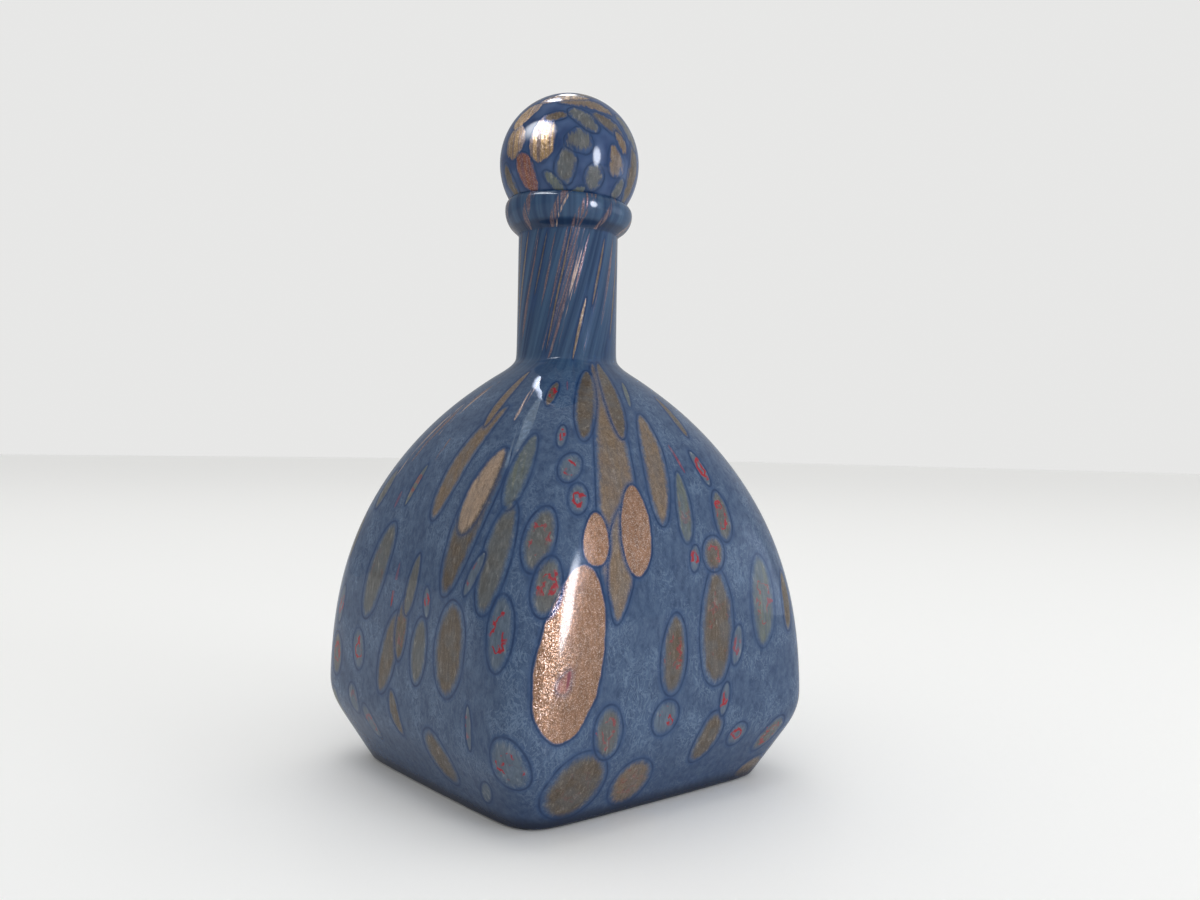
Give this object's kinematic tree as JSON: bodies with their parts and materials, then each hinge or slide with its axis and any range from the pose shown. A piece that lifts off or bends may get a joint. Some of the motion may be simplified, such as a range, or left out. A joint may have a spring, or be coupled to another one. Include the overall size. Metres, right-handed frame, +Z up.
{
  "type": "glass carafe",
  "caption": "Square blown-glass carafe with chamfered foot, domed shoulder, round neck, lip collar and ball stopper on a sealed peg.",
  "frame": {"origin": "middle of the flat foot, on the surface that the carafe stands on", "axes": "+Z up along the neck's axis; the four faces of the body look along +X, -X, +Y and -Y; the lip's high side is towards -X and +Y"},
  "size_m": [0.1168, 0.1168, 0.2152],
  "materials": {
    "cased_glass": "glossy, opaque slate blue with tan and copper chips",
    "ball_glass": "glossy, opaque navy with gold and copper chips",
    "clear_glass": "polished, clear",
    "silicone": "satin, moulded"
  },
  "bodies": {
    "carafe": {"vessel": "cased_glass", "lip_collar": "cased_glass"},
    "sleeve": {"stopper_seal": "silicone"},
    "stopper": {"stopper_ball": "ball_glass", "stopper_peg": "clear_glass"}
  },
  "joints": [
    {"name": "stopper_lift", "type": "slide", "parent": "carafe", "child": "sleeve", "axis": [0, 0, 1], "range_m": [0, 0.08]},
    {"name": "stopper_turn", "type": "hinge", "parent": "sleeve", "child": "stopper", "pos_m": [0, 0, 0.19275], "axis": [0, 0, 1], "continuous": true}
  ]
}
